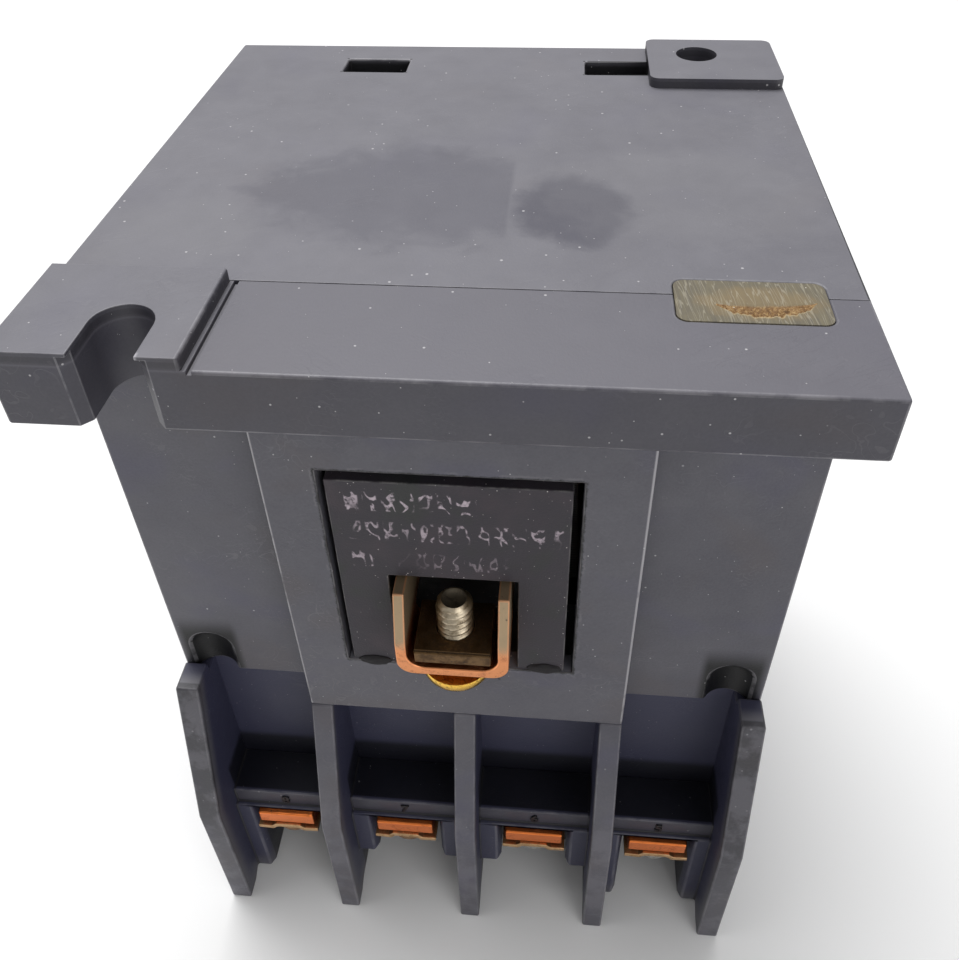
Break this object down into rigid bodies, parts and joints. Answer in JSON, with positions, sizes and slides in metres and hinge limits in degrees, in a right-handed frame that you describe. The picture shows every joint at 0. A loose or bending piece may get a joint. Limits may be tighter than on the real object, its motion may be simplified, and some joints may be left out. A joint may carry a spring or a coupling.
{
  "type": "magnetic contactor",
  "caption": "Block-shaped magnetic contactor with a screw-down base, barriers between its poles, a coil terminal at each end and clamp-screw line and load terminals.",
  "frame": {"origin": "middle of the footprint, on the plane of the barrier tips", "axes": "+X across the poles to the right as seen from the load side, +Y from the load terminals to the line terminals, +Z from the front of the contactor to its mounting face"},
  "size_m": [0.08, 0.082, 0.1159],
  "materials": {
    "moulding": "moulded black phenolic, slightly worn",
    "coil_case": "moulded black, dusty",
    "carrier": "moulded brown thermoset",
    "bobbin": "moulded natural nylon",
    "rubber": "moulded black rubber",
    "lamination": "stacked electrical steel",
    "zinc_steel": "zinc plated",
    "spring_steel": "drawn spring wire",
    "dark_nut": "aged brown steel",
    "terminal_screw": "plated, tarnished",
    "clamp_plate": "pressed, tarnished",
    "copper": "plain copper",
    "terminal_copper": "bright copper",
    "bracket": "copper, tarnished at the ends",
    "brass_screw": "bright brass, greasy",
    "silver": "silver alloy",
    "winding": "enamelled copper wire"
  },
  "bodies": {
    "frame": {"base_plate": "moulding", "coil_housing": "moulding", "contact_block": "moulding", "terminal_guards": "moulding", "arc_cover": "moulding", "case_screws": "zinc_steel", "magnet_core": "lamination", "core_rivets": "zinc_steel", "shading_rings": "copper", "core_cushions": "rubber", "coil_bobbin": "bobbin", "coil_winding": "winding", "coil_case": "coil_case", "coil_bracket_front": "bracket", "coil_bracket_rear": "bracket", "return_springs": "spring_steel", "fixed_tips": "silver", "terminal_1": "terminal_copper", "terminal_2": "terminal_copper", "terminal_3": "terminal_copper", "terminal_4": "terminal_copper", "terminal_5": "terminal_copper", "terminal_6": "terminal_copper", "terminal_7": "terminal_copper", "terminal_8": "terminal_copper"},
    "carrier": {"contact_carrier": "carrier", "armature": "lamination", "armature_pin": "zinc_steel", "contact_spring_1": "spring_steel", "contact_spring_2": "spring_steel", "contact_spring_3": "spring_steel", "contact_spring_4": "spring_steel"},
    "bridge_1": {"moving_bridge_1": "copper", "bridge_tips_1": "silver"},
    "bridge_2": {"moving_bridge_2": "copper", "bridge_tips_2": "silver"},
    "bridge_3": {"moving_bridge_3": "copper", "bridge_tips_3": "silver"},
    "bridge_4": {"moving_bridge_4": "copper", "bridge_tips_4": "silver"},
    "clamp_1": {"clamp_plate_1": "clamp_plate"},
    "screw_1": {"terminal_screw_1": "terminal_screw"},
    "clamp_2": {"clamp_plate_2": "clamp_plate"},
    "screw_2": {"terminal_screw_2": "terminal_screw"},
    "clamp_3": {"clamp_plate_3": "clamp_plate"},
    "screw_3": {"terminal_screw_3": "terminal_screw"},
    "clamp_4": {"clamp_plate_4": "clamp_plate"},
    "screw_4": {"terminal_screw_4": "terminal_screw"},
    "clamp_5": {"clamp_plate_5": "clamp_plate"},
    "screw_5": {"terminal_screw_5": "terminal_screw"},
    "clamp_6": {"clamp_plate_6": "clamp_plate"},
    "screw_6": {"terminal_screw_6": "terminal_screw"},
    "clamp_7": {"clamp_plate_7": "clamp_plate"},
    "screw_7": {"terminal_screw_7": "terminal_screw"},
    "clamp_8": {"clamp_plate_8": "clamp_plate"},
    "screw_8": {"terminal_screw_8": "terminal_screw"},
    "coil_nut_front": {"coil_nut_front": "dark_nut"},
    "coil_screw_front": {"coil_screw_front": "brass_screw"},
    "coil_nut_rear": {"coil_nut_rear": "dark_nut"},
    "coil_screw_rear": {"coil_screw_rear": "brass_screw"}
  },
  "joints": [
    {"name": "armature_pull", "type": "slide", "parent": "frame", "child": "carrier", "axis": [0, 0, 1], "range_m": [0, 0.0045], "stiffness_N_per_m": 800, "springref_m": -0.006, "deforming": ["return_springs"]},
    {"name": "bridge_1_overtravel", "type": "slide", "parent": "carrier", "child": "bridge_1", "axis": [0, 0, 1], "range_m": [-0.0016, 0], "deforming": ["contact_spring_1"]},
    {"name": "bridge_2_overtravel", "type": "slide", "parent": "carrier", "child": "bridge_2", "axis": [0, 0, 1], "range_m": [-0.0016, 0], "deforming": ["contact_spring_2"]},
    {"name": "bridge_3_overtravel", "type": "slide", "parent": "carrier", "child": "bridge_3", "axis": [0, 0, 1], "range_m": [-0.0016, 0], "deforming": ["contact_spring_3"]},
    {"name": "bridge_4_overtravel", "type": "slide", "parent": "carrier", "child": "bridge_4", "axis": [0, 0, 1], "range_m": [-0.0016, 0], "deforming": ["contact_spring_4"]},
    {"name": "clamp_1_slide", "type": "slide", "parent": "frame", "child": "clamp_1", "axis": [0, 0, -1], "range_m": [0, 0.00318]},
    {"name": "screw_1_turn", "type": "hinge", "parent": "clamp_1", "child": "screw_1", "pos_m": [0.0288, 0.0304, 0.018], "axis": [0, 0, -1], "range_deg": [-5, 1448]},
    {"name": "clamp_2_slide", "type": "slide", "parent": "frame", "child": "clamp_2", "axis": [0, 0, -1], "range_m": [0, 0.00318]},
    {"name": "screw_2_turn", "type": "hinge", "parent": "clamp_2", "child": "screw_2", "pos_m": [0.01, 0.0304, 0.018], "axis": [0, 0, -1], "range_deg": [-5, 1448]},
    {"name": "clamp_3_slide", "type": "slide", "parent": "frame", "child": "clamp_3", "axis": [0, 0, -1], "range_m": [0, 0.00318]},
    {"name": "screw_3_turn", "type": "hinge", "parent": "clamp_3", "child": "screw_3", "pos_m": [-0.01, 0.0304, 0.018], "axis": [0, 0, -1], "range_deg": [-5, 1448]},
    {"name": "clamp_4_slide", "type": "slide", "parent": "frame", "child": "clamp_4", "axis": [0, 0, -1], "range_m": [0, 0.00318]},
    {"name": "screw_4_turn", "type": "hinge", "parent": "clamp_4", "child": "screw_4", "pos_m": [-0.0288, 0.0304, 0.018], "axis": [0, 0, -1], "range_deg": [-5, 1448]},
    {"name": "clamp_5_slide", "type": "slide", "parent": "frame", "child": "clamp_5", "axis": [0, 0, -1], "range_m": [0, 0.00318]},
    {"name": "screw_5_turn", "type": "hinge", "parent": "clamp_5", "child": "screw_5", "pos_m": [0.0288, -0.0304, 0.018], "axis": [0, 0, -1], "range_deg": [-5, 1448]},
    {"name": "clamp_6_slide", "type": "slide", "parent": "frame", "child": "clamp_6", "axis": [0, 0, -1], "range_m": [0, 0.00318]},
    {"name": "screw_6_turn", "type": "hinge", "parent": "clamp_6", "child": "screw_6", "pos_m": [0.01, -0.0304, 0.018], "axis": [0, 0, -1], "range_deg": [-5, 1448]},
    {"name": "clamp_7_slide", "type": "slide", "parent": "frame", "child": "clamp_7", "axis": [0, 0, -1], "range_m": [0, 0.00318]},
    {"name": "screw_7_turn", "type": "hinge", "parent": "clamp_7", "child": "screw_7", "pos_m": [-0.01, -0.0304, 0.018], "axis": [0, 0, -1], "range_deg": [-5, 1448]},
    {"name": "clamp_8_slide", "type": "slide", "parent": "frame", "child": "clamp_8", "axis": [0, 0, -1], "range_m": [0, 0.00318]},
    {"name": "screw_8_turn", "type": "hinge", "parent": "clamp_8", "child": "screw_8", "pos_m": [-0.0288, -0.0304, 0.018], "axis": [0, 0, -1], "range_deg": [-5, 1448]},
    {"name": "coil_screw_front_turn", "type": "hinge", "parent": "frame", "child": "coil_screw_front", "pos_m": [-0.0005, -0.032, 0.068], "axis": [0, 0, -1], "range_deg": [-5, 1448]},
    {"name": "coil_nut_front_slide", "type": "slide", "parent": "frame", "child": "coil_nut_front", "axis": [0, 0, 1], "range_m": [0, 0.00318]},
    {"name": "coil_screw_rear_turn", "type": "hinge", "parent": "frame", "child": "coil_screw_rear", "pos_m": [-0.0005, 0.032, 0.068], "axis": [0, 0, -1], "range_deg": [-5, 1448]},
    {"name": "coil_nut_rear_slide", "type": "slide", "parent": "frame", "child": "coil_nut_rear", "axis": [0, 0, 1], "range_m": [0, 0.00318]}
  ],
  "couplings": [
    {"joint": "bridge_1_overtravel", "follows": "armature_pull", "ratio": -0.34},
    {"joint": "bridge_2_overtravel", "follows": "armature_pull", "ratio": -0.34},
    {"joint": "bridge_3_overtravel", "follows": "armature_pull", "ratio": -0.34},
    {"joint": "bridge_4_overtravel", "follows": "armature_pull", "ratio": -0.34},
    {"joint": "screw_1_turn", "follows": "clamp_1_slide", "rad_per_m": 7913.3},
    {"joint": "screw_2_turn", "follows": "clamp_2_slide", "rad_per_m": 7913.3},
    {"joint": "screw_3_turn", "follows": "clamp_3_slide", "rad_per_m": 7913.3},
    {"joint": "screw_4_turn", "follows": "clamp_4_slide", "rad_per_m": 7913.3},
    {"joint": "screw_5_turn", "follows": "clamp_5_slide", "rad_per_m": 7913.3},
    {"joint": "screw_6_turn", "follows": "clamp_6_slide", "rad_per_m": 7913.3},
    {"joint": "screw_7_turn", "follows": "clamp_7_slide", "rad_per_m": 7913.3},
    {"joint": "screw_8_turn", "follows": "clamp_8_slide", "rad_per_m": 7913.3},
    {"joint": "coil_screw_front_turn", "follows": "coil_nut_front_slide", "rad_per_m": 7913.3},
    {"joint": "coil_screw_rear_turn", "follows": "coil_nut_rear_slide", "rad_per_m": 7913.3}
  ]
}
